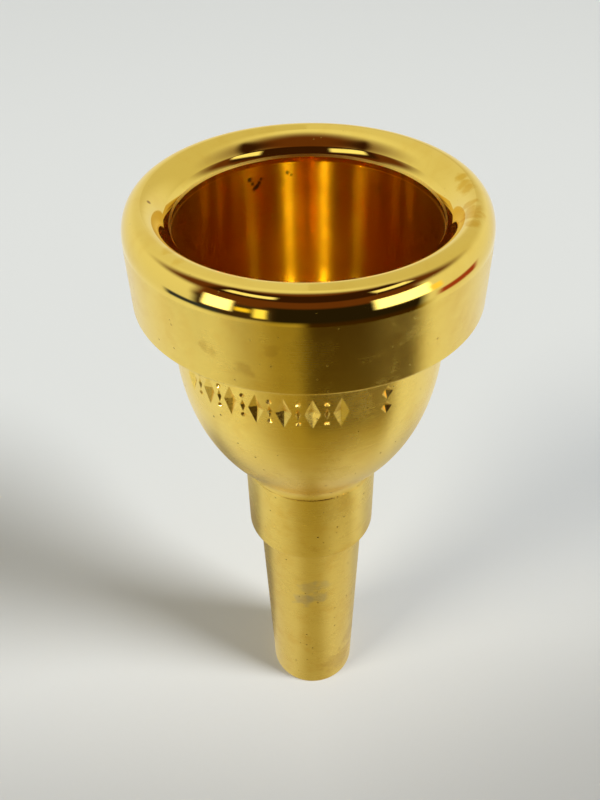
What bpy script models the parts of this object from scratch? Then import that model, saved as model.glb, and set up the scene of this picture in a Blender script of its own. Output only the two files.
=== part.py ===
"""Large-shank trombone mouthpiece, screwed together from a rim, a cup and a shank.

Every piece is turned about the Z axis. The origin is the centre of the shank's
tip, and +Z points up the air path towards the player. Lengths are in millimetres
here, and MM turns them into Blender's metres when a mesh is made.
"""

import math

import bmesh
import bpy

MM = 0.001

# Fineness of the turned solids
SEGMENTS = 48
RING_SECTION_SEGMENTS = 8
ROLL_POINTS = 7
BOWL_POINTS = 10
BLEND_POINTS = 4
CUP_POINTS = 9
SHOULDER_POINTS = 4

# Heights along the axis
SHOULDER_Z = 35.5
NECK_SEAM_Z = 47.1
BAND_FOOT_Z = 73.8
BAND_TOP_Z = 81.75
CREST_Z = 84.85
BITE_Z = 82.1

# Outside radii
TIP_R = 6.35
SHANK_TAPER = 0.025
COLLAR_R = 8.62
BOWL_R = 15.6
BAND_R = 19.43
CREST_R = 17.3
BITE_R = 14.38

# The rolled lip: handles of its outer and inner curves, measured from their ends
ROLL_OUTER_REACH = 1.4
ROLL_OUTER_LIFT = 1.4
ROLL_INNER_REACH = 1.1
ROLL_INNER_SAG = 0.1
BITE_LEAN = 0.5
BITE_LIFT = 0.9

# The bowl's outside is part of an ellipse, blended into the neck by an arc
BOWL_CENTRE_Z = 66.64
BOWL_DROP = 21.66
BOWL_END_DEG = 52.2

# The air path
CUP_MOUTH_R = 14.3
CUP_WAIST_R = 13.7
CUP_WAIST_Z = 68.0
CUP_DROP = 12.6
CUP_END_DEG = 69.5
THROAT_R = 3.7
THROAT_TOP_Z = 54.4
THROAT_FOOT_Z = 52.6
STEM_BORE_R = 4.02
BACKBORE_TOP_R = 4.1
BACKBORE_EXIT_R = 5.55

# The rounded step from the cup into the throat: handles of its curve
THROAT_LIFT = 0.9
SHOULDER_REACH = 0.8
SHOULDER_SAG = 0.27

# Running clearances between pieces
SEAT_GAP = 0.3
THREAD_GAP = 0.15
RING_GAP = 0.15

# Both threads are right-handed, with 60 degree flanks
PITCH = 1.0
THREAD_TURNS = 3.5
FLANK_SLOPE = math.tan(math.radians(30))
CREST_HALF_WIDTH = 0.0625
THREAD_EMBED = 0.1

# Rim thread: on the outside of the cup's mouth
RIM_CORE_R = BOWL_R
RIM_MAJOR_R = 16.2
RIM_THREAD_START_Z = 75.9

# Stem thread: on the stem below the cup
STEM_CORE_R = 4.95
STEM_MAJOR_R = 5.5
STEM_THREAD_START_Z = 41.9
STEM_END_Z = 40.8

# Seal rings
RING_SECTION_R = 0.4
RIM_CEILING_Z = 81.45

# Small edges
EDGE = 0.3

# Seats worked out from the sizes above
COLLAR_TOP_Z = NECK_SEAM_Z - SEAT_GAP / 2
CUP_BASE_Z = NECK_SEAM_Z + SEAT_GAP / 2
CUP_TOP_Z = RIM_CEILING_Z - SEAT_GAP
SHANK_TOP_R = TIP_R + SHANK_TAPER * SHOULDER_Z
RIM_RING_Z = RIM_CEILING_Z - RING_GAP - RING_SECTION_R
RIM_RING_R = 15.55
RIM_RECESS_R = RIM_RING_R + RING_SECTION_R + RING_GAP
REBATE_R = RIM_RING_R - RING_SECTION_R - RING_GAP
REBATE_Z = RIM_RING_Z - RING_SECTION_R - RING_GAP
STEM_RING_R = STEM_CORE_R + RING_GAP + RING_SECTION_R
STEM_RING_Z = CUP_BASE_Z - RING_GAP - RING_SECTION_R
POCKET_R = STEM_RING_R + RING_SECTION_R + RING_GAP
POCKET_Z = STEM_RING_Z - RING_SECTION_R - RING_GAP
SOCKET_FLOOR_Z = STEM_END_Z - SEAT_GAP


def clear_scene():
    for obj in list(bpy.data.objects):
        bpy.data.objects.remove(obj, do_unlink=True)


def new_collection(name):
    collection = bpy.data.collections.new(name)
    bpy.context.scene.collection.children.link(collection)
    return collection


def new_material(name, colour, metallic, roughness):
    material = bpy.data.materials.new(name)
    material.use_nodes = True
    shader = material.node_tree.nodes["Principled BSDF"]
    shader.inputs["Base Color"].default_value = (*colour, 1.0)
    shader.inputs["Metallic"].default_value = metallic
    shader.inputs["Roughness"].default_value = roughness
    return material


def ellipse_arc(centre, radii, start_deg, end_deg, count):
    """Points (r, z) on an ellipse, from the angle start_deg to end_deg."""
    points = []
    for i in range(count):
        angle = math.radians(start_deg + (end_deg - start_deg) * i / (count - 1))
        r = centre[0] + radii[0] * math.cos(angle)
        z = centre[1] + radii[1] * math.sin(angle)
        points.append((r, z))
    return points


def bezier(p0, p1, p2, p3, count):
    """Points (r, z) on a cubic curve from p0 to p3."""
    points = []
    for i in range(count):
        t = i / (count - 1)
        weights = ((1 - t) ** 3, 3 * t * (1 - t) ** 2, 3 * t * t * (1 - t), t**3)
        r = sum(w * p[0] for w, p in zip(weights, (p0, p1, p2, p3)))
        z = sum(w * p[1] for w, p in zip(weights, (p0, p1, p2, p3)))
        points.append((r, z))
    return points


def loop_object(name, outline, collection):
    """A closed loop of edges in the XZ plane."""
    mesh = bpy.data.meshes.new(name)
    verts = [(r * MM, 0.0, z * MM) for r, z in outline]
    edges = [(i, (i + 1) % len(verts)) for i in range(len(verts))]
    mesh.from_pydata(verts, edges, [])
    obj = bpy.data.objects.new(name, mesh)
    collection.objects.link(obj)
    return obj


def add_screw(obj, turns, rise, merge):
    screw = obj.modifiers.new("turn", "SCREW")
    screw.axis = "Z"
    screw.angle = 2 * math.pi * turns
    screw.screw_offset = rise * MM
    screw.steps = round(SEGMENTS * turns)
    screw.render_steps = screw.steps
    screw.use_merge_vertices = merge
    screw.merge_threshold = 1e-6
    screw.use_smooth_shade = True


def turned(name, outline, material, collection):
    """A solid of revolution whose outline runs down its outer side."""
    obj = loop_object(name, outline, collection)
    add_screw(obj, 1, 0.0, True)
    obj.data.materials.append(material)
    return obj


def thread_ridge(name, root_r, crest_r, start_z, cutters):
    """One helical ridge, closed at both ends, standing from root_r to crest_r."""
    height = abs(crest_r - root_r)
    outward = 1 if crest_r > root_r else -1
    base_r = root_r - outward * THREAD_EMBED
    base_half = CREST_HALF_WIDTH + (height + THREAD_EMBED) * FLANK_SLOPE
    section = [
        (base_r, start_z - base_half),
        (crest_r, start_z - CREST_HALF_WIDTH),
        (crest_r, start_z + CREST_HALF_WIDTH),
        (base_r, start_z + base_half),
    ]
    guide = loop_object(name + "_guide", section, cutters)
    add_screw(guide, THREAD_TURNS, PITCH * THREAD_TURNS, False)
    depsgraph = bpy.context.evaluated_depsgraph_get()
    mesh = bpy.data.meshes.new_from_object(guide.evaluated_get(depsgraph))
    bpy.data.objects.remove(guide, do_unlink=True)

    shape = bmesh.new()
    shape.from_mesh(mesh)
    bmesh.ops.holes_fill(shape, edges=shape.edges, sides=len(section))
    bmesh.ops.recalc_face_normals(shape, faces=shape.faces)
    shape.to_mesh(mesh)
    shape.free()

    ridge = bpy.data.objects.new(name, mesh)
    cutters.objects.link(ridge)
    ridge.hide_render = True
    ridge.display_type = "WIRE"
    return ridge


def join_ridge(obj, ridge):
    boolean = obj.modifiers.new(ridge.name, "BOOLEAN")
    boolean.operation = "UNION"
    boolean.solver = "EXACT"
    boolean.object = ridge


def seal_ring(name, ring_r, ring_z, material, collection):
    bpy.ops.mesh.primitive_torus_add(
        major_segments=SEGMENTS,
        minor_segments=RING_SECTION_SEGMENTS,
        major_radius=ring_r * MM,
        minor_radius=RING_SECTION_R * MM,
        location=(0.0, 0.0, ring_z * MM),
    )
    obj = bpy.context.object
    obj.name = name
    obj.data.name = name
    obj.data.shade_smooth()
    obj.data.materials.append(material)
    for home in list(obj.users_collection):
        home.objects.unlink(obj)
    collection.objects.link(obj)
    return obj


def shank_outline():
    """Tapered shank with a collar, a stem socket and an opening backbore."""
    return [
        (COLLAR_R - EDGE / 2, COLLAR_TOP_Z),
        (COLLAR_R, COLLAR_TOP_Z - EDGE / 2),
        (COLLAR_R, SHOULDER_Z + EDGE / 2),
        (COLLAR_R - EDGE / 2, SHOULDER_Z),
        (SHANK_TOP_R, SHOULDER_Z),
        (TIP_R + SHANK_TAPER * EDGE, EDGE),
        (TIP_R - EDGE, 0.0),
        (BACKBORE_EXIT_R, 0.0),
        (BACKBORE_TOP_R, SOCKET_FLOOR_Z),
        (STEM_MAJOR_R + THREAD_GAP, SOCKET_FLOOR_Z),
        (STEM_MAJOR_R + THREAD_GAP, POCKET_Z),
        (POCKET_R, POCKET_Z),
        (POCKET_R, COLLAR_TOP_Z),
    ]


def bowl_outside():
    """The bowl's outside from its widest point down to the neck."""
    angle = math.radians(BOWL_END_DEG)
    bowl = ellipse_arc((0.0, BOWL_CENTRE_Z), (BOWL_R, BOWL_DROP), 0.0, -BOWL_END_DEG, BOWL_POINTS)
    end_r, end_z = bowl[-1]
    lean = math.atan(BOWL_R * math.sin(angle) / (BOWL_DROP * math.cos(angle)))
    blend_r = (end_r - COLLAR_R) / (1 - math.cos(lean))
    centre = (COLLAR_R + blend_r, end_z - blend_r * math.sin(lean))
    start_deg = 180 - math.degrees(lean)
    blend = ellipse_arc(centre, (blend_r, blend_r), start_deg, 180.0, BLEND_POINTS)
    return bowl + [p for p in blend[1:] if p[1] > CUP_BASE_Z]


def cup_inside():
    """The cup's inside from the foot of the stem up to the mouth."""
    centre = (0.0, CUP_WAIST_Z)
    bowl = ellipse_arc(centre, (CUP_WAIST_R, CUP_DROP), -CUP_END_DEG, 0.0, CUP_POINTS)
    start_r, start_z = bowl[0]
    shoulder = bezier(
        (THROAT_R, THROAT_TOP_Z),
        (THROAT_R, THROAT_TOP_Z + THROAT_LIFT),
        (start_r - SHOULDER_REACH, start_z - SHOULDER_SAG),
        (start_r, start_z),
        SHOULDER_POINTS,
    )
    foot = [(STEM_BORE_R, STEM_END_Z), (THROAT_R, THROAT_FOOT_Z)]
    return foot + shoulder[:-1] + bowl + [(CUP_MOUTH_R, CUP_TOP_Z)]


def cup_outline():
    """Cup with a threaded mouth above the bowl and a threaded stem below it."""
    mouth = [(REBATE_R, CUP_TOP_Z), (REBATE_R, REBATE_Z), (BOWL_R, REBATE_Z)]
    stem = [
        (COLLAR_R, CUP_BASE_Z),
        (STEM_CORE_R, CUP_BASE_Z),
        (STEM_CORE_R, STEM_END_Z + EDGE),
        (STEM_CORE_R - EDGE, STEM_END_Z),
    ]
    return mouth + bowl_outside() + stem + cup_inside()


def rim_outline():
    """Rim: a rolled lip over a plain band that screws down round the cup's mouth."""
    outer = bezier(
        (CREST_R, CREST_Z),
        (CREST_R + ROLL_OUTER_REACH, CREST_Z),
        (BAND_R, BAND_TOP_Z + ROLL_OUTER_LIFT),
        (BAND_R, BAND_TOP_Z),
        ROLL_POINTS,
    )
    bore_r = RIM_MAJOR_R + THREAD_GAP
    band = [
        (BAND_R, BAND_FOOT_Z + EDGE),
        (BAND_R - EDGE, BAND_FOOT_Z),
        (bore_r + EDGE, BAND_FOOT_Z),
        (bore_r, BAND_FOOT_Z + EDGE),
    ]
    recess = [
        (bore_r, REBATE_Z - SEAT_GAP),
        (RIM_RECESS_R, REBATE_Z - SEAT_GAP),
        (RIM_RECESS_R, RIM_CEILING_Z),
        (BITE_R + EDGE / 2, RIM_CEILING_Z),
    ]
    inner = bezier(
        (BITE_R, BITE_Z),
        (BITE_R + BITE_LEAN, BITE_Z + BITE_LIFT),
        (CREST_R - ROLL_INNER_REACH, CREST_Z - ROLL_INNER_SAG),
        (CREST_R, CREST_Z),
        ROLL_POINTS,
    )
    return outer + band + recess + inner[:-1]


def build():
    clear_scene()
    parts = new_collection("brass_mouthpiece")
    cutters = new_collection("thread_ridges")

    polished = new_material("polished_gold", (0.83, 0.66, 0.28), 1.0, 0.06)
    satin = new_material("satin_gold", (0.78, 0.61, 0.26), 1.0, 0.28)
    brushed = new_material("brushed_gold", (0.80, 0.63, 0.28), 1.0, 0.32)
    rubber = new_material("black_rubber", (0.02, 0.02, 0.02), 0.0, 0.6)

    shank = turned("shank", shank_outline(), brushed, parts)
    cup = turned("cup", cup_outline(), satin, parts)
    rim = turned("rim", rim_outline(), polished, parts)
    seal_ring("shank_seal_ring", STEM_RING_R, STEM_RING_Z, rubber, parts)
    seal_ring("rim_seal_ring", RIM_RING_R, RIM_RING_Z, rubber, parts)

    # Each nut thread is half a pitch below its screw thread, so they sit in mesh
    threads = (
        (cup, "rim_screw", RIM_CORE_R, RIM_MAJOR_R, RIM_THREAD_START_Z),
        (
            rim,
            "rim_nut",
            RIM_MAJOR_R + THREAD_GAP,
            RIM_CORE_R + THREAD_GAP,
            RIM_THREAD_START_Z - PITCH / 2,
        ),
        (cup, "stem_screw", STEM_CORE_R, STEM_MAJOR_R, STEM_THREAD_START_Z),
        (
            shank,
            "stem_nut",
            STEM_MAJOR_R + THREAD_GAP,
            STEM_CORE_R + THREAD_GAP,
            STEM_THREAD_START_Z - PITCH / 2,
        ),
    )
    for obj, name, root_r, crest_r, start_z in threads:
        join_ridge(obj, thread_ridge(name, root_r, crest_r, start_z, cutters))


build()
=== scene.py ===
"""Gold-plated trombone mouthpiece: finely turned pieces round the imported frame."""

import math

import bmesh
import bpy
import numpy as np
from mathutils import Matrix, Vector


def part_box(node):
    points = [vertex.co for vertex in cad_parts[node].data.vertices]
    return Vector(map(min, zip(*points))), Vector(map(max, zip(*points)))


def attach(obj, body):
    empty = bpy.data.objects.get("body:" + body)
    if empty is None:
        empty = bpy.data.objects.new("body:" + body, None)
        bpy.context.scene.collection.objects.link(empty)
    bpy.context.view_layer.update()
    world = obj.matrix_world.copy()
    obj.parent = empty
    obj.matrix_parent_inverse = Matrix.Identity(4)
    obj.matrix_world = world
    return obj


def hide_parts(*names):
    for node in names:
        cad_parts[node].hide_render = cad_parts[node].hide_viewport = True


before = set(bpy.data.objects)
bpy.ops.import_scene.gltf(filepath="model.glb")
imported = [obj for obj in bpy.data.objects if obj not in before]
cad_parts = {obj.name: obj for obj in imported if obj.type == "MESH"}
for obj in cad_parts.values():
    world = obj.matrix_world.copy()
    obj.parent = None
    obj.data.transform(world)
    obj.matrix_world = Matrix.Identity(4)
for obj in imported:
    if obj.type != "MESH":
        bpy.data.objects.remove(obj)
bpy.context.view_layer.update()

MM = 0.001

# ---------------------------------------------------------------- sizes, in mm
COLUMNS = 240
THREAD_STEP = 0.0625

rim_low, rim_high = (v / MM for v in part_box("rim"))
cup_low, cup_high = (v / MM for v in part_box("cup"))
shank_low, shank_high = (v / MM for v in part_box("shank"))
rim_ring_low, rim_ring_high = (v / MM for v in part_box("rim_seal_ring"))
stem_ring_low, stem_ring_high = (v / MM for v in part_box("shank_seal_ring"))

BAND_R = rim_high.x
CREST_Z = rim_high.z
BAND_FOOT_Z = rim_low.z
COLLAR_R = shank_high.x
TIP_Z = shank_low.z
STEM_END_Z = cup_low.z

SHOULDER_Z = 35.5
NECK_SEAM_Z = 47.1
BAND_TOP_Z = 81.75
BITE_Z = 82.1
TIP_R = 6.35
SHANK_TAPER = 0.025
BOWL_R = 15.6
CREST_R = 17.3
BITE_R = 14.38
BOWL_CENTRE_Z = 66.64
BOWL_DROP = 21.66
BOWL_END_DEG = 52.2
CUP_MOUTH_R = 14.3
CUP_WAIST_R = 13.7
CUP_WAIST_Z = 68.0
CUP_DROP = 12.6
CUP_END_DEG = 69.5
THROAT_R = 3.7
THROAT_TOP_Z = 54.4
THROAT_FOOT_Z = 52.6
STEM_BORE_R = 4.02
BACKBORE_TOP_R = 4.1
BACKBORE_EXIT_R = 5.55

PITCH = 1.0
THREAD_TURNS = 3.5
THREAD_FADE = 0.1
FLANK_SLOPE = math.tan(math.radians(30))
CREST_HALF_WIDTH = 0.0625
THREAD_GAP = 0.15
RIM_MAJOR_R = 16.2
RIM_THREAD_START_Z = 75.9
STEM_CORE_R = 4.95
STEM_MAJOR_R = 5.5
STEM_THREAD_START_Z = 41.9

RING_SECTION_R = 0.4
RIM_CEILING_Z = 81.45
REBATE_R = 15.0
REBATE_Z = 80.35
RIM_RECESS_R = 16.1
POCKET_R = 6.05
POCKET_Z = 46.15
SOCKET_FLOOR_Z = STEM_END_Z - 0.3

# A closed joint shows a hairline of this height
SEAM = 0.02


# ---------------------------------------------------------------- outlines
def ellipse_arc(centre, radii, start_deg, end_deg, count):
    angles = np.radians(np.linspace(start_deg, end_deg, count))
    return [(centre[0] + radii[0] * math.cos(a), centre[1] + radii[1] * math.sin(a)) for a in angles]


def bezier(p0, p1, p2, p3, count):
    points = []
    for t in np.linspace(0.0, 1.0, count):
        w = ((1 - t) ** 3, 3 * t * (1 - t) ** 2, 3 * t * t * (1 - t), t**3)
        r = sum(k * p[0] for k, p in zip(w, (p0, p1, p2, p3)))
        z = sum(k * p[1] for k, p in zip(w, (p0, p1, p2, p3)))
        points.append((r, z))
    return points


class Outline:
    """A closed outline (r, z), whose corners can be rounded and whose sides carry a zone."""

    def __init__(self):
        self.corners = []

    def to(self, r, z, fillet=0.0, zone=None):
        """Adds a corner. The zone is that of the side which starts here; None keeps the last one."""
        if zone is None:
            zone = self.corners[-1][3]
        self.corners.append((r, z, fillet, zone))
        return self

    def along(self, points, zone=None):
        for r, z in points:
            self.to(r, z, 0.0, zone)
        return self

    def points(self):
        out = []
        n = len(self.corners)
        for i, (r, z, fillet, zone) in enumerate(self.corners):
            if not fillet:
                out.append((r, z, zone))
                continue
            p = np.array((r, z))
            before = np.array(self.corners[i - 1][:2]) - p
            after = np.array(self.corners[(i + 1) % n][:2]) - p
            u, v = before / np.linalg.norm(before), after / np.linalg.norm(after)
            half = math.acos(max(-1.0, min(1.0, float(u @ v)))) / 2
            centre = p + (u + v) / np.linalg.norm(u + v) * fillet / math.sin(half)
            reach = fillet / math.tan(half)
            first, last = p + u * reach, p + v * reach
            a0 = math.atan2(*(first - centre)[::-1])
            a1 = math.atan2(*(last - centre)[::-1])
            turn = (a1 - a0 + math.pi) % (2 * math.pi) - math.pi
            out.append((*(first + u * 0.06), self.corners[i - 1][3]))
            for k in range(6):
                a = a0 + turn * k / 5
                out.append((centre[0] + fillet * math.cos(a), centre[1] + fillet * math.sin(a), zone))
            out.append((*(last + v * 0.06), zone))
        return out


def ridge(theta, z, start, height):
    """How far a helical ridge stands up at each angle and height."""
    reach = CREST_HALF_WIDTH + height * FLANK_SLOPE
    up = np.zeros(np.broadcast(theta, z).shape)
    for k in range(math.ceil(THREAD_TURNS)):
        turn = theta / (2 * math.pi) + k
        fade = np.clip(np.minimum(turn, THREAD_TURNS - turn) / THREAD_FADE, 0.0, 1.0)
        rise = np.clip((reach - abs(z - start - PITCH * turn)) / FLANK_SLOPE, 0.0, height)
        up = np.maximum(up, rise * fade)
    return up


def turned(name, outline, materials, thread=()):
    """A closed surface of revolution. A thread is (zone, start_z, height, outward)."""
    profile = outline.points()
    threads = {t[0]: t[1:] for t in thread}
    rows = []
    for (r, z, zone), (r2, z2, _) in zip(profile, profile[1:] + profile[:1]):
        steps = 1
        if zone in threads and abs(z2 - z) > 1.0:
            steps = math.ceil(abs(z2 - z) / THREAD_STEP)
        for k in range(steps):
            t = k / steps
            rows.append((r + (r2 - r) * t, z + (z2 - z) * t, zone, steps > 1 and k > 0))
    theta = np.arange(COLUMNS) * 2 * math.pi / COLUMNS
    r = np.repeat(np.array([row[0] for row in rows])[:, None], COLUMNS, 1)
    z = np.repeat(np.array([row[1] for row in rows])[:, None], COLUMNS, 1)
    for i, row in enumerate(rows):
        if row[3]:
            start, height, outward = threads[row[2]]
            r[i] += outward * ridge(theta, z[i], start, height)
    verts = np.stack([r * np.cos(theta), r * np.sin(theta), z], -1).reshape(-1, 3) * MM
    n = len(rows)
    i, j = np.meshgrid(np.arange(n), np.arange(COLUMNS), indexing="ij")
    i2, j2 = (i + 1) % n, (j + 1) % COLUMNS
    faces = np.stack([i * COLUMNS + j, i2 * COLUMNS + j, i2 * COLUMNS + j2, i * COLUMNS + j2], -1)
    mesh = bpy.data.meshes.new(name)
    mesh.from_pydata(verts.tolist(), [], faces.reshape(-1, 4).tolist())
    order = list(materials)
    for key in order:
        mesh.materials.append(materials[key])
    index = np.array([order.index(row[2]) if row[2] in order else 0 for row in rows])
    mesh.polygons.foreach_set("material_index", np.repeat(index, COLUMNS).astype(np.int32))
    mesh.shade_smooth()
    obj = bpy.data.objects.new(name, mesh)
    bpy.context.scene.collection.objects.link(obj)
    return obj


def rim_outline():
    o = Outline()
    outer = bezier(
        (CREST_R, CREST_Z), (CREST_R + 1.4, CREST_Z), (BAND_R, BAND_TOP_Z + 1.4), (BAND_R, BAND_TOP_Z), 44
    )
    # The bite is steep; a short turn above it leads into the slope of the lip
    turn_r, turn_z = BITE_R + 0.6, BITE_Z + 0.98
    bite = bezier(
        (BITE_R, BITE_Z), (BITE_R + 0.18, BITE_Z + 0.4), (turn_r - 0.18, turn_z - 0.23), (turn_r, turn_z), 18
    )
    slope = bezier(
        (turn_r, turn_z),
        (turn_r + 0.65, turn_z + 0.66),
        (CREST_R - 0.93, CREST_Z - 0.08),
        (CREST_R, CREST_Z),
        40,
    )
    inner = bite + slope[1:]
    bore_r = RIM_MAJOR_R + THREAD_GAP
    o.along(outer[:-1], "mirror")
    o.to(*outer[-1], 0.0, "band")
    o.to(BAND_R, (BAND_TOP_Z + BAND_FOOT_Z) / 2)
    o.to(BAND_R, BAND_FOOT_Z, 0.28)
    o.to(bore_r + 0.3, BAND_FOOT_Z, 0.08, "machined")
    o.to(bore_r, BAND_FOOT_Z + 0.3, 0.08)
    o.to(bore_r, 74.6, 0.0, "thread")
    o.to(bore_r, 79.7, 0.0, "machined")
    o.to(bore_r, REBATE_Z - 0.3, 0.08)
    o.to(RIM_RECESS_R, REBATE_Z - 0.3, 0.05)
    o.to(RIM_RECESS_R, RIM_CEILING_Z, 0.2)
    o.to(BITE_R + 0.03, RIM_CEILING_Z, 0.02, "wall")
    o.to(BITE_R, BITE_Z - 0.1)
    o.to(*inner[0], 0.1, "edge")
    o.along(inner[4:-1], "mirror")
    return o


def cup_outline():
    o = Outline()
    top = RIM_CEILING_Z - SEAM
    base = NECK_SEAM_Z + SEAM / 2
    angle = math.radians(BOWL_END_DEG)
    bowl = ellipse_arc((0.0, BOWL_CENTRE_Z), (BOWL_R, BOWL_DROP), 0.0, -BOWL_END_DEG, 64)
    end_r, end_z = bowl[-1]
    lean = math.atan(BOWL_R * math.sin(angle) / (BOWL_DROP * math.cos(angle)))
    blend_r = (end_r - COLLAR_R) / (1 - math.cos(lean))
    centre = (COLLAR_R + blend_r, end_z - blend_r * math.sin(lean))
    blend = ellipse_arc(centre, (blend_r, blend_r), 180 - math.degrees(lean), 180.0, 18)
    inside = ellipse_arc((0.0, CUP_WAIST_Z), (CUP_WAIST_R, CUP_DROP), -CUP_END_DEG, 0.0, 40)
    start_r, start_z = inside[0]
    shoulder = bezier(
        (THROAT_R, THROAT_TOP_Z),
        (THROAT_R, THROAT_TOP_Z + 0.9),
        (start_r - 0.8, start_z - 0.27),
        (start_r, start_z),
        16,
    )
    o.to(REBATE_R, top, 0.08, "machined")
    o.to(REBATE_R, REBATE_Z, 0.12)
    o.to(BOWL_R, REBATE_Z, 0.12)
    o.to(BOWL_R, 79.9, 0.0, "thread")
    o.to(BOWL_R, 75.1, 0.0, "outside")
    o.along(bowl)
    o.along([p for p in blend[1:] if p[1] > base + 0.12])
    o.to(COLLAR_R, base, 0.08, "machined")
    o.to(STEM_CORE_R, base, 0.08)
    o.to(STEM_CORE_R, 46.0, 0.0, "thread2")
    o.to(STEM_CORE_R, 41.2, 0.0, "machined")
    o.to(STEM_CORE_R, STEM_END_Z + 0.3, 0.06)
    o.to(STEM_CORE_R - 0.3, STEM_END_Z, 0.06)
    o.to(STEM_BORE_R, STEM_END_Z, 0.1)
    o.to(THROAT_R, THROAT_FOOT_Z, 0.0)
    o.along(shoulder[:-1], "inside")
    o.along(inside)
    o.to(CUP_WAIST_R + 0.3, (CUP_WAIST_Z + top) / 2)
    o.to(CUP_MOUTH_R + 0.06, top, 0.02)
    return o


def shank_outline():
    o = Outline()
    top = NECK_SEAM_Z - SEAM / 2
    shank_top_r = TIP_R + SHANK_TAPER * SHOULDER_Z
    o.to(COLLAR_R, top, 0.1, "outside")
    o.to(COLLAR_R, SHOULDER_Z, 0.16)
    o.to(shank_top_r, SHOULDER_Z, 0.1)
    o.to(TIP_R + SHANK_TAPER * 20, 20.0)
    o.to(TIP_R, TIP_Z, 0.32)
    o.to(BACKBORE_EXIT_R, TIP_Z, 0.12, "machined")
    o.to(BACKBORE_TOP_R, SOCKET_FLOOR_Z, 0.05)
    o.to(STEM_MAJOR_R + THREAD_GAP, SOCKET_FLOOR_Z, 0.12)
    o.to(STEM_MAJOR_R + THREAD_GAP, 40.9, 0.0, "thread")
    o.to(STEM_MAJOR_R + THREAD_GAP, 45.6, 0.0, "machined")
    o.to(STEM_MAJOR_R + THREAD_GAP, POCKET_Z, 0.06)
    o.to(POCKET_R, POCKET_Z, 0.1)
    o.to(POCKET_R, top, 0.06)
    return o


def seal_ring(name, ring_r, ring_z, material):
    """A moulded ring: round section, with a fine parting line inside and outside."""
    count, around = 24, 180
    theta = np.arange(around) * 2 * math.pi / around
    phi = np.arange(count) * 2 * math.pi / count
    section = RING_SECTION_R * (1 - 0.03 * (abs(np.sin(phi)) > 0.1))
    r = ring_r + section * np.cos(phi)
    z = ring_z + section * np.sin(phi)
    z = np.repeat(z[:, None], around, 1)
    verts = np.stack([r[:, None] * np.cos(theta), r[:, None] * np.sin(theta), z], -1)
    i, j = np.meshgrid(np.arange(count), np.arange(around), indexing="ij")
    i2, j2 = (i + 1) % count, (j + 1) % around
    faces = np.stack([i * around + j, i * around + j2, i2 * around + j2, i2 * around + j], -1)
    mesh = bpy.data.meshes.new(name)
    mesh.from_pydata((verts.reshape(-1, 3) * MM).tolist(), [], faces.reshape(-1, 4).tolist())
    mesh.materials.append(material)
    mesh.shade_smooth()
    obj = bpy.data.objects.new(name, mesh)
    bpy.context.scene.collection.objects.link(obj)
    return obj


# ---------------------------------------------------------------- engraving
ENGRAVING_Z = 68.0
LOZENGES = 7
FIRST_LOZENGE_DEG = -54.0
LOZENGE_STEP_DEG = 11.0
SIDE_MARK_DEG = 31.0
CHIP_LIFT = 0.25


def bowl_radius(z):
    """Outside radius of the bowl at a height on its ellipse."""
    return BOWL_R * math.sqrt(1 - ((BOWL_CENTRE_Z - z) / BOWL_DROP) ** 2) if z < BOWL_CENTRE_Z else BOWL_R


def chip(shape, azimuth_deg, z, half_width, half_height, depth, sides=4):
    """A pyramid whose point cuts into the wall: one chip of the engraving."""
    a = math.radians(azimuth_deg)
    radius = bowl_radius(z)
    out = Vector((math.sin(a), -math.cos(a), 0.0))
    side = Vector((math.cos(a), math.sin(a), 0.0))
    up = Vector((0.0, 0.0, 1.0))
    grow = 1 + CHIP_LIFT / depth
    centre = Vector((math.sin(a) * radius, -math.cos(a) * radius, z))
    tip = shape.verts.new((centre - out * depth) * MM)
    rim = []
    for k in range(sides):
        t = 2 * math.pi * k / sides
        offset = side * math.cos(t) * half_width * grow + up * math.sin(t) * half_height * grow
        rim.append(shape.verts.new((centre + out * CHIP_LIFT + offset) * MM))
    for k in range(sides):
        shape.faces.new((tip, rim[k], rim[(k + 1) % sides]))
    shape.faces.new(rim)


def cut(obj, shape):
    """Takes the cutter's chips out of a piece, and keeps their edges crisp."""
    bmesh.ops.recalc_face_normals(shape, faces=shape.faces)
    mesh = bpy.data.meshes.new("chips")
    shape.to_mesh(mesh)
    shape.free()
    cutter = bpy.data.objects.new("chips", mesh)
    bpy.context.scene.collection.objects.link(cutter)
    boolean = obj.modifiers.new("chips", "BOOLEAN")
    boolean.operation = "DIFFERENCE"
    boolean.solver = "EXACT"
    boolean.object = cutter
    bpy.context.view_layer.update()
    result = bpy.data.meshes.new_from_object(obj.evaluated_get(bpy.context.evaluated_depsgraph_get()))
    obj.modifiers.clear()
    old = obj.data
    obj.data = result
    bpy.data.meshes.remove(old)
    bpy.data.objects.remove(cutter, do_unlink=True)
    result.shade_smooth()
    result.set_sharp_from_angle(angle=math.radians(10))


def engrave(cup):
    """A row of lozenges with dots and slots between them, and two small lozenges at the side."""
    shape = bmesh.new()
    for k in range(LOZENGES):
        azimuth = FIRST_LOZENGE_DEG + LOZENGE_STEP_DEG * k
        chip(shape, azimuth, ENGRAVING_Z, 0.9, 2.0, 0.45)
        if k < LOZENGES - 1:
            middle = azimuth + LOZENGE_STEP_DEG / 2
            for dz in (-1.3, 1.3):
                chip(shape, middle, ENGRAVING_Z + dz, 0.32, 0.32, 0.28, 12)
            chip(shape, middle, ENGRAVING_Z, 0.3, 0.85, 0.28)
    for dz in (-1.0, 1.0):
        chip(shape, SIDE_MARK_DEG, ENGRAVING_Z + dz, 0.75, 0.9, 0.4)
    cut(cup, shape)


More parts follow.
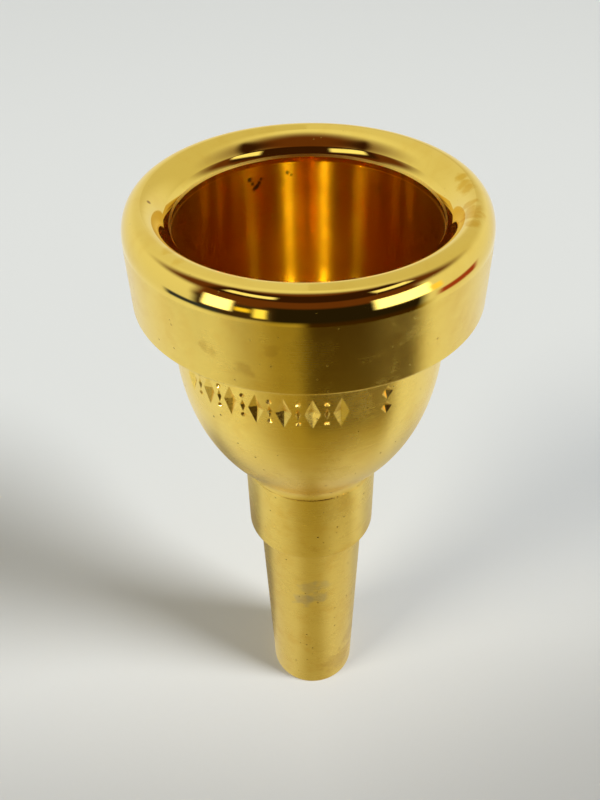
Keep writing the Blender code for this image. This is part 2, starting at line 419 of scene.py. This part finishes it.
# ---------------------------------------------------------------- node graphs
class Graph:
    """Short calls for building one node tree."""

    def __init__(self, tree):
        self.tree = tree

    def add(self, kind, **settings):
        node = self.tree.nodes.new(kind)
        for key, value in settings.items():
            setattr(node, key, value)
        return node

    def put(self, socket, value):
        if isinstance(value, bpy.types.NodeSocket):
            self.tree.links.new(value, socket)
        elif isinstance(value, (tuple, list)) and socket.type == "RGBA":
            socket.default_value = (*value, 1.0)
        else:
            socket.default_value = value

    def math(self, operation, a, b=0.0, clamp=False):
        node = self.add("ShaderNodeMath", operation=operation, use_clamp=clamp)
        self.put(node.inputs[0], a)
        self.put(node.inputs[1], b)
        return node.outputs[0]

    def ramp(self, value, low, high, to_low=0.0, to_high=1.0):
        """Smooth step of value from low to high."""
        node = self.add("ShaderNodeMapRange", interpolation_type="SMOOTHSTEP")
        for k, v in enumerate((value, low, high, to_low, to_high)):
            self.put(node.inputs[k], v)
        return node.outputs[0]

    def inside(self, value, low, high, soft):
        """1 where value is between low and high, falling to 0 over soft."""
        up = self.ramp(value, low - soft, low + soft)
        down = self.ramp(value, high - soft, high + soft, 1.0, 0.0)
        return self.math("MULTIPLY", up, down)

    def mix(self, factor, a, b, blend="MIX"):
        node = self.add("ShaderNodeMix", data_type="RGBA", blend_type=blend)
        self.put(node.inputs[0], factor)
        self.put(node.inputs[6], a)
        self.put(node.inputs[7], b)
        return node.outputs[2]

    def blend(self, factor, a, b):
        node = self.add("ShaderNodeMix", data_type="FLOAT")
        self.put(node.inputs[0], factor)
        self.put(node.inputs[2], a)
        self.put(node.inputs[3], b)
        return node.outputs[0]

    def split(self, vector):
        node = self.add("ShaderNodeSeparateXYZ")
        self.put(node.inputs[0], vector)
        return node.outputs[0], node.outputs[1], node.outputs[2]

    def join(self, x, y, z):
        node = self.add("ShaderNodeCombineXYZ")
        for k, v in enumerate((x, y, z)):
            self.put(node.inputs[k], v)
        return node.outputs[0]

    def vector(self, operation, a, b=(0.0, 0.0, 0.0)):
        node = self.add("ShaderNodeVectorMath", operation=operation)
        self.put(node.inputs[0], a)
        if isinstance(b, float):
            node.inputs["Scale"].default_value = b
        else:
            self.put(node.inputs[1], b)
        return node.outputs["Value"] if operation in ("LENGTH", "DISTANCE") else node.outputs[0]

    def noise(self, vector, scale, detail=2.0, roughness=0.5, dimensions="3D"):
        node = self.add("ShaderNodeTexNoise", noise_dimensions=dimensions)
        if dimensions == "1D":
            self.put(node.inputs["W"], vector)
        else:
            self.put(node.inputs["Vector"], vector)
        node.inputs["Scale"].default_value = scale
        node.inputs["Detail"].default_value = detail
        node.inputs["Roughness"].default_value = roughness
        return node.outputs[0]

    def voronoi(self, vector, scale):
        node = self.add("ShaderNodeTexVoronoi")
        self.put(node.inputs["Vector"], vector)
        node.inputs["Scale"].default_value = scale
        return node.outputs["Distance"], node.outputs["Color"]

    def bump(self, height, distance, normal=None):
        node = self.add("ShaderNodeBump")
        node.inputs["Strength"].default_value = 1.0
        node.inputs["Distance"].default_value = distance
        self.put(node.inputs["Height"], height)
        if normal is not None:
            self.put(node.inputs["Normal"], normal)
        return node.outputs[0]


def new_material(name):
    material = bpy.data.materials.new(name)
    material.use_nodes = True
    material.node_tree.nodes.clear()
    graph = Graph(material.node_tree)
    output = graph.add("ShaderNodeOutputMaterial")
    return material, graph, output


GOLD = (0.94, 0.68, 0.14)
DEEP_GOLD = (0.82, 0.50, 0.06)
# The cup wall's two golds are darker than the plate elsewhere: painted shade for the inside of the cup
WALL_GOLD_PAINTED_SHADE = (0.60, 0.29, 0.003)
DEEP_WALL_GOLD_PAINTED_SHADE = (0.54, 0.22, 0.002)


def gold(
    name, roughness, anisotropy, lines, grain, tarnish, smudge, pits, spots=(), base=GOLD, deep=DEEP_GOLD
):
    """Gold plate over turned brass.

    lines and grain are the depths of the lathe lines and of the grain, in mm; tarnish,
    smudge and pits run from 0 to 1;
    a spot is ((x, y, z) in mm, radius in mm, strength, colour).
    """
    material, g, output = new_material(name)
    shader = g.add("ShaderNodeBsdfPrincipled")
    g.put(output.inputs[0], shader.outputs[0])
    coords = g.add("ShaderNodeTexCoord").outputs["Object"]
    p = g.vector("SCALE", coords, 1000.0)
    x, y, z = g.split(p)
    r = g.vector("LENGTH", g.join(x, y, 0.0))
    along = g.math("ADD", z, g.math("MULTIPLY", r, 0.73))

    cloud = g.noise(p, 0.16, 4.0, 0.6)
    patch = g.noise(g.vector("ADD", p, (31.0, 7.0, 3.0)), 0.55, 3.0, 0.55)
    stains = g.math("ADD", g.math("MULTIPLY", cloud, 0.6), g.math("MULTIPLY", patch, 0.4))
    stained = g.math("MULTIPLY", g.ramp(stains, 0.47, 0.66), tarnish)
    coarse = g.noise(along, 2.3, 3.0, 0.7, "1D")
    fine = g.noise(along, 14.0, 2.0, 0.8, "1D")
    colour = g.mix(stained, base, deep)
    colour = g.mix(g.ramp(coarse, 0.3, 0.7, 0.0, 0.12 if lines else 0.02), colour, deep)

    distance, cell = g.voronoi(p, 1.15)
    pick = g.split(cell)[0]
    size = g.math("MULTIPLY", g.ramp(pick, 0.6, 1.0), 0.15)
    speck = g.math("MULTIPLY", g.math("LESS_THAN", distance, size), pits)
    colour = g.mix(g.math("MULTIPLY", speck, 0.75), colour, (0.16, 0.075, 0.015))
    wear = g.noise(p, 0.9, 2.0, 0.5)
    for place, radius, strength, stain in spots:
        away = g.vector("DISTANCE", p, place)
        away = g.math("ADD", away, g.math("MULTIPLY", g.math("SUBTRACT", wear, 0.5), radius * 1.6))
        spot = g.ramp(away, radius * 0.35, radius, strength, 0.0)
        colour = g.mix(spot, colour, stain)
    g.put(shader.inputs["Base Color"], colour)

    finger = g.ramp(g.noise(g.vector("ADD", p, (3.0, 51.0, 17.0)), 0.24, 5.0, 0.62), 0.46, 0.72)
    rough = g.math("ADD", roughness, g.math("MULTIPLY", finger, smudge))
    rough = g.math("ADD", rough, g.math("MULTIPLY", speck, 0.3))
    rough = g.math("ADD", rough, g.math("MULTIPLY", g.math("SUBTRACT", fine, 0.5), roughness * 0.5))
    g.put(shader.inputs["Roughness"], g.math("MAXIMUM", rough, 0.015))
    shader.inputs["Metallic"].default_value = 1.0
    shader.inputs["Specular Tint"].default_value = (1.0, 1.0, 1.0, 1.0)
    shader.inputs["Anisotropic"].default_value = anisotropy
    shader.inputs["Anisotropic Rotation"].default_value = 0.25
    tangent = g.add("ShaderNodeTangent", direction_type="RADIAL", axis="Z")
    g.put(shader.inputs["Tangent"], tangent.outputs[0])

    normal = None
    if lines:
        height = g.math("ADD", g.math("MULTIPLY", coarse, 0.6), g.math("MULTIPLY", fine, 0.4))
        normal = g.bump(height, lines * MM)
    dent = g.math("MULTIPLY", speck, -1.0)
    normal = g.bump(dent, 0.02 * MM, normal)
    normal = g.bump(g.noise(p, 9.0, 3.0, 0.6), grain * MM, normal)
    g.put(shader.inputs["Normal"], normal)
    return material


def rubber():
    material, g, output = new_material("nitrile")
    shader = g.add("ShaderNodeBsdfPrincipled")
    g.put(output.inputs[0], shader.outputs[0])
    p = g.vector("SCALE", g.add("ShaderNodeTexCoord").outputs["Object"], 1000.0)
    dust = g.ramp(g.noise(p, 1.4, 4.0, 0.6), 0.45, 0.75)
    g.put(shader.inputs["Base Color"], g.mix(dust, (0.012, 0.012, 0.013), (0.035, 0.034, 0.033)))
    g.put(shader.inputs["Roughness"], g.blend(dust, 0.38, 0.62))
    g.put(shader.inputs["Normal"], g.bump(g.noise(p, 14.0, 3.0, 0.6), 0.012 * MM))
    return material


# ---------------------------------------------------------------- studio
def studio_group():
    """The light that reflections see, by direction: a staged room, not the one that lights the table."""
    tree = bpy.data.node_groups.new("studio", "ShaderNodeTree")
    tree.interface.new_socket("Direction", in_out="INPUT", socket_type="NodeSocketVector")
    tree.interface.new_socket("Light", in_out="OUTPUT", socket_type="NodeSocketColor")
    g = Graph(tree)
    direction = g.add("NodeGroupInput").outputs[0]
    x, y, z = g.split(g.vector("NORMALIZE", direction))
    azimuth = g.math("MULTIPLY", g.math("ARCTAN2", x, g.math("MULTIPLY", y, -1.0)), 180 / math.pi)
    height = g.math("MULTIPLY", g.math("ARCSINE", z), 180 / math.pi)

    def region(az, el, soft):
        a = g.inside(azimuth, az[0], az[1], soft[0])
        e = g.inside(height, el[0], el[1], soft[1])
        return g.math("MULTIPLY", a, e)

    pale = (0.86, 0.88, 0.86)
    colour = g.mix(g.ramp(height, -60.0, 40.0), (0.76, 0.77, 0.74), pale)
    # Duller behind, most of all to the right
    back = g.math("MULTIPLY", g.ramp(azimuth, 50.0, 110.0), g.ramp(height, 8.0, 30.0))
    colour = g.mix(back, colour, (0.67, 0.65, 0.53))
    back = g.math("MULTIPLY", g.ramp(azimuth, -80.0, -130.0), g.ramp(height, 8.0, 30.0))
    colour = g.mix(back, colour, (0.76, 0.76, 0.70))
    # Darkness overhead and to the front, shaped like a dome
    across = g.math("POWER", g.math("DIVIDE", azimuth, 112.0), 2.0)
    rise = g.math("POWER", g.math("DIVIDE", g.math("SUBTRACT", height, 5.0), 70.0), 2.0)
    dome = g.ramp(g.math("SQRT", g.math("ADD", across, rise)), 0.84, 1.1, 1.0, 0.0)
    dome = g.math("MULTIPLY", dome, g.ramp(height, -6.0, 4.0))
    side = g.ramp(g.math("ABSOLUTE", azimuth), 62.0, 72.0)
    side = g.math("MULTIPLY", side, g.ramp(height, 16.0, 30.0, 1.0, 0.0))
    dome = g.math("MULTIPLY", dome, g.math("SUBTRACT", 1.0, side))
    colour = g.mix(dome, colour, (0.13, 0.042, 0.014))
    # The black front, above and below the horizon
    colour = g.mix(region((-66.0, 72.0), (31.0, 58.0), (5.0, 3.0)), colour, (0.035, 0.012, 0.004))
    colour = g.mix(region((-24.0, 66.0), (-36.0, 12.0), (5.0, 4.0)), colour, (0.018, 0.013, 0.007))
    colour = g.mix(region((-66.0, -20.0), (-24.0, 8.0), (4.0, 4.0)), colour, (0.05, 0.03, 0.02))
    # Windows and small bright things
    patches = (
        ((37.0, 71.0), (-8.0, 16.0), (3.0, 2.0), (2.4, 2.4, 2.4)),
        ((-60.0, -43.0), (-12.0, 14.0), (2.5, 2.0), (2.4, 2.4, 2.4)),
        ((44.0, 72.0), (38.0, 47.0), (3.0, 2.0), (1.2, 1.2, 1.1)),
        ((-56.0, -22.0), (38.0, 47.0), (3.0, 2.0), (1.2, 1.2, 1.1)),
        ((-30.0, -23.0), (-17.0, 3.0), (2.0, 2.5), (1.3, 1.2, 0.45)),
        ((-41.0, -32.0), (-8.0, 0.0), (2.5, 2.5), (1.1, 0.85, 0.10)),
        ((71.0, 79.0), (-8.0, 4.0), (2.0, 2.5), (1.1, 0.9, 0.3)),
        ((-86.0, -50.0), (-22.0, -15.0), (4.0, 2.0), (0.03, 0.04, 0.10)),
        ((76.0, 108.0), (-20.0, -12.0), (4.0, 2.0), (0.36, 0.06, 0.03)),
    )
    for az, el, soft, light in patches:
        colour = g.mix(region(az, el, soft), colour, light)
    g.put(g.add("NodeGroupOutput").inputs[0], colour)
    return tree


def studio(g, tree, direction):
    node = g.add("ShaderNodeGroup", node_tree=tree)
    g.put(node.inputs[0], direction)
    return node.outputs[0]


BACKDROP = (0.72, 0.735, 0.72)


def make_world(tree):
    world = bpy.data.worlds.new("studio")
    bpy.context.scene.world = world
    world.use_nodes = True
    world.node_tree.nodes.clear()
    g = Graph(world.node_tree)
    output = g.add("ShaderNodeOutputWorld")
    seen = studio(g, tree, g.add("ShaderNodeTexCoord").outputs["Generated"])
    path = g.add("ShaderNodeLightPath")
    colour = g.mix(path.outputs["Is Diffuse Ray"], seen, FILL)
    colour = g.mix(path.outputs["Is Camera Ray"], colour, BACKDROP)
    background = g.add("ShaderNodeBackground")
    g.put(background.inputs[0], colour)
    g.put(output.inputs[0], background.outputs[0])


FILL = (0.09, 0.09, 0.085)
SUNS = (
    # azimuth from the camera's side, elevation, angular size, strength, colour
    (71.0, 41.0, 22.0, 3.05, (0.97, 0.99, 1.0)),
    (-58.0, 42.0, 24.0, 1.35, (1.0, 0.95, 0.82)),
)


# The light that reflections see in place of the table close by; it is staged, and isn't
# the table's own tone. Low azimuth, softness, high azimuth, softness, start, softness,
# far end, light; angles in degrees and distances in mm
NEAR_TABLE = (
    (-170.0, 8.0, 170.0, 8.0, -40.0, 10.0, 44.0, (0.69, 0.67, 0.58)),
    (-42.0, 26.0, 71.0, 8.0, 48.0, 15.0, 900.0, (0.40, 0.32, 0.08)),
    (-3.0, 5.0, 66.0, 6.0, 84.0, 17.0, 900.0, (0.04, 0.018, 0.0)),
    (-24.0, 18.0, 26.0, 18.0, 34.0, 12.0, 60.0, (0.38, 0.31, 0.08)),
    (-22.0, 18.0, 26.0, 18.0, 5.0, 4.0, 34.0, (0.48, 0.43, 0.26)),
    (-165.0, 8.0, -98.0, 10.0, 8.0, 4.0, 54.0, (0.27, 0.26, 0.25)),
    (98.0, 12.0, 160.0, 10.0, 8.0, 4.0, 60.0, (0.56, 0.56, 0.53)),
)


def make_floor(tree):
    mesh = bpy.data.meshes.new("floor")
    half = 4.0
    corners = [(-half, -half, 0), (half, -half, 0), (half, half, 0), (-half, half, 0)]
    mesh.from_pydata(corners, [], [(0, 1, 2, 3)])
    floor = bpy.data.objects.new("floor", mesh)
    bpy.context.scene.collection.objects.link(floor)
    material, g, output = new_material("pale_table")
    mesh.materials.append(material)
    position = g.add("ShaderNodeNewGeometry").outputs["Position"]
    diffuse = g.add("ShaderNodeBsdfDiffuse")
    p = g.vector("SCALE", position, 1000.0)
    x, y, z = g.split(p)
    tone = g.mix(g.ramp(y, 60.0, -40.0), (0.735, 0.75, 0.75), (0.75, 0.75, 0.735))
    # Painted shade on the table: darker towards the front, most of all at the right, and a little at the
    # back
    front = g.math("SUBTRACT", y, g.math("MULTIPLY", g.math("MAXIMUM", x, 0.0), 0.35))
    painted_front_shade = g.math("MULTIPLY", g.ramp(front, 5.0, -45.0, 0.0, 0.38), g.ramp(front, -70.0, -200.0, 1.0, 0.0))
    tone = g.mix(painted_front_shade, tone, (0.0, 0.0, 0.0))
    away = g.vector("LENGTH", g.join(x, y, 0.0))
    # Painted shade: the table darkens a little far from the mouthpiece
    tone = g.mix(g.ramp(away, 120.0, 480.0, 0.0, 0.09), tone, (0.0, 0.0, 0.0))
    g.put(diffuse.inputs[0], tone)
    glow = g.add("ShaderNodeEmission")
    far = studio(g, tree, g.vector("SUBTRACT", position, (0.0, 0.0, 0.08)))
    azimuth = g.math("MULTIPLY", g.math("ARCTAN2", x, g.math("MULTIPLY", y, -1.0)), 180 / math.pi)
    near = (0.84, 0.87, 0.86)
    for low, low_soft, high, high_soft, start, start_soft, end, light in NEAR_TABLE:
        a = g.ramp(azimuth, low - low_soft, low + low_soft)
        a = g.math("MULTIPLY", a, g.ramp(azimuth, high - high_soft, high + high_soft, 1.0, 0.0))
        a = g.math("MULTIPLY", a, g.ramp(away, start - start_soft, start + start_soft))
        a = g.math("MULTIPLY", a, g.ramp(away, end - 12.0, end + 12.0, 1.0, 0.0))
        near = g.mix(a, near, light)
    seen = g.mix(g.ramp(away, 150.0, 230.0), near, far)
    g.put(glow.inputs[0], seen)
    mixer = g.add("ShaderNodeMixShader")
    g.put(mixer.inputs[0], g.add("ShaderNodeLightPath").outputs["Is Glossy Ray"])
    g.put(mixer.inputs[1], diffuse.outputs[0])
    g.put(mixer.inputs[2], glow.outputs[0])
    g.put(output.inputs[0], mixer.outputs[0])


def make_suns():
    for k, (azimuth, elevation, size, strength, colour) in enumerate(SUNS):
        a, e = math.radians(azimuth), math.radians(elevation)
        towards = Vector((math.sin(a) * math.cos(e), -math.cos(a) * math.cos(e), math.sin(e)))
        light = bpy.data.lights.new(f"soft_light_{k}", "SUN")
        light.angle = math.radians(size)
        light.energy = strength
        light.color = colour
        obj = bpy.data.objects.new(light.name, light)
        obj.rotation_mode = "QUATERNION"
        obj.rotation_quaternion = towards.to_track_quat("Z", "Y")
        obj.visible_glossy = False
        bpy.context.scene.collection.objects.link(obj)


# Narrow lights that reach the cup only: azimuth, elevation, width in m, share of the power
CUP_LIGHTS = (
    (18.0, 34.0, 0.012, 1.0),
    (-15.5, 34.0, 0.012, 1.0),
    (56.0, 34.0, 0.042, 1.9),
    (-50.0, 34.0, 0.042, 2.6),
)
CUP_LIGHT_POWER = 21.0


def make_cup_lights(cup):
    only_cup = bpy.data.collections.new("cup_only")
    only_cup.objects.link(cup)
    aim = Vector((0.0, 10.0, 76.0)) * MM
    for k, (azimuth, elevation, width, share) in enumerate(CUP_LIGHTS):
        a, e = math.radians(azimuth), math.radians(elevation)
        towards = Vector((math.sin(a) * math.cos(e), -math.cos(a) * math.cos(e), math.sin(e)))
        light = bpy.data.lights.new(f"cup_light_{k}", "SPOT")
        light.shadow_soft_size = width
        light.spot_size = math.radians(3.2)
        light.spot_blend = 0.4
        light.energy = CUP_LIGHT_POWER * share
        obj = bpy.data.objects.new(light.name, light)
        obj.location = aim + towards * 0.5
        obj.rotation_mode = "QUATERNION"
        obj.rotation_quaternion = towards.to_track_quat("Z", "Y")
        obj.light_linking.receiver_collection = only_cup
        bpy.context.scene.collection.objects.link(obj)


def make_camera():
    data = bpy.data.cameras.new("camera")
    data.sensor_width = 36.0
    data.lens = 36.507
    data.clip_start = 0.005
    data.clip_end = 20.0
    camera = bpy.data.objects.new("camera", data)
    bpy.context.scene.collection.objects.link(camera)
    camera.location = Vector((0.0, -76.877, 123.564)) * MM
    camera.rotation_euler = [math.radians(a) for a in (48.855, 0.949, 0.087)]
    bpy.context.scene.camera = camera


# ---------------------------------------------------------------- the pieces
BROWN = (0.24, 0.095, 0.012)
DARK = (0.06, 0.018, 0.002)
LIGHT_BROWN = (0.50, 0.26, 0.02)
OCHRE = (0.76, 0.44, 0.02)
GREY = (0.50, 0.43, 0.26)
lip_spots = (
    ((-16.3, -1.0, 84.4), 0.35, 0.8, BROWN),
    ((16.3, 3.2, 84.6), 1.1, 0.75, OCHRE),
    ((16.4, 1.9, 84.5), 1.1, 0.75, OCHRE),
    ((16.4, 0.6, 84.5), 1.0, 0.75, OCHRE),
    ((16.2, -2.6, 84.5), 1.2, 0.8, OCHRE),
    ((16.2, -4.0, 84.6), 1.2, 0.8, OCHRE),
    ((16.1, -5.4, 84.7), 1.3, 0.85, OCHRE),
    ((15.7, -6.9, 84.7), 1.0, 0.75, OCHRE),
    ((-12.8, -11.1, 84.8), 1.0, 0.4, OCHRE),
    ((-11.8, -13.3, 84.8), 0.8, 0.4, OCHRE),
)
wall_spots = (
    ((-6.80, 12.55, 80.1), 0.34, 0.95, DARK),
    ((-6.55, 12.65, 79.5), 0.32, 0.95, DARK),
    ((-6.35, 12.75, 78.9), 0.34, 0.95, DARK),
    ((-6.00, 12.90, 79.1), 0.32, 0.95, DARK),
    ((-5.70, 13.05, 79.5), 0.32, 0.95, DARK),
    ((-5.45, 13.15, 79.9), 0.30, 0.95, DARK),
    ((-2.40, 14.05, 80.2), 0.32, 0.85, DARK),
    ((-1.90, 14.10, 79.9), 0.26, 0.80, DARK),
    ((-2.80, 13.95, 79.3), 0.24, 0.60, DARK),
    ((8.4, 11.5, 79.2), 0.7, 0.4, DARK),
)
band_spots = (
    ((-10.0, -16.7, 77.9), 0.9, 0.3, LIGHT_BROWN),
    ((-9.0, -17.2, 77.5), 0.7, 0.3, LIGHT_BROWN),
    ((-6.0, -18.5, 76.3), 1.1, 0.3, LIGHT_BROWN),
    ((-3.5, -19.1, 78.8), 0.9, 0.25, LIGHT_BROWN),
)
shank_spots = (
    ((-1.2, -6.9, 23.6), 1.9, 0.4, GREY),
    ((0.8, -6.9, 24.2), 2.0, 0.4, GREY),
    ((-0.4, -6.9, 26.6), 2.0, 0.35, GREY),
    ((1.6, -6.7, 27.2), 1.5, 0.3, GREY),
    ((4.4, -4.9, 4.5), 3.6, 0.35, LIGHT_BROWN),
    ((5.8, -3.0, 9.5), 3.0, 0.3, LIGHT_BROWN),
)
mirror = gold("mirror_gold", 0.035, 0.0, 0.0, 0.0006, 0.25, 0.03, 0.1, lip_spots)
band = gold("satin_band_gold", 0.23, 0.84, 0.0025, 0.004, 0.35, 0.05, 0.35, band_spots)
bowl = gold("satin_bowl_gold", 0.24, 0.8, 0.0025, 0.005, 0.35, 0.06, 1.0)
# Painted shade: the cup wall and the rim's inner wall get the darkened gold
wall = gold(
    "cup_wall_gold_painted_shade", 0.19, 1.0, 0.0025, 0.0003, 0.2, 0.03, 0.12, wall_spots, WALL_GOLD_PAINTED_SHADE, DEEP_WALL_GOLD_PAINTED_SHADE
)
brushed = gold("brushed_shank_gold", 0.25, 0.8, 0.003, 0.005, 0.5, 0.06, 1.0, shank_spots)
machined = gold("machined_gold", 0.24, 0.6, 0.008, 0.005, 0.6, 0.05, 0.2)
edge = gold("bite_edge_gold", 0.3, 0.0, 0.0, 0.001, 0.2, 0.03, 0.1)
nitrile = rubber()

rim = turned(
    "rim_rolled_lip",
    rim_outline(),
    {"mirror": mirror, "band": band, "wall": wall, "machined": machined, "thread": machined, "edge": edge},
    [("thread", RIM_THREAD_START_Z - PITCH / 2, RIM_MAJOR_R - BOWL_R, -1)],
)
cup = turned(
    "cup_bowl",
    cup_outline(),
    {"outside": bowl, "inside": wall, "machined": machined, "thread": machined, "thread2": machined},
    [
        ("thread", RIM_THREAD_START_Z, RIM_MAJOR_R - BOWL_R, 1),
        ("thread2", STEM_THREAD_START_Z, STEM_MAJOR_R - STEM_CORE_R, 1),
    ],
)
shank = turned(
    "shank_taper",
    shank_outline(),
    {"outside": brushed, "machined": machined, "thread": machined},
    [("thread", STEM_THREAD_START_Z - PITCH / 2, STEM_MAJOR_R - STEM_CORE_R, -1)],
)
engrave(cup)
rim_ring_z = (rim_ring_low.z + rim_ring_high.z) / 2
rim_ring = seal_ring("rim_seal_moulded", rim_ring_high.x - RING_SECTION_R, rim_ring_z, nitrile)
stem_ring_z = (stem_ring_low.z + stem_ring_high.z) / 2
stem_ring = seal_ring("shank_seal_moulded", stem_ring_high.x - RING_SECTION_R, stem_ring_z, nitrile)

for piece, node, body, slot in (
    (rim, "rim", "rim", "polished_gold"),
    (cup, "cup", "cup", "satin_gold"),
    (shank, "shank", "shank", "brushed_gold"),
    (rim_ring, "rim_seal_ring", "rim_seal", "black_rubber"),
    (stem_ring, "shank_seal_ring", "shank_seal", "black_rubber"),
):
    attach(piece, body)
    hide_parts(node)

studio_tree = studio_group()
make_world(studio_tree)
make_floor(studio_tree)
make_suns()
make_cup_lights(cup)
make_camera()
bpy.context.scene.view_settings.view_transform = "Standard"
bpy.context.scene.cycles.glossy_bounces = 8
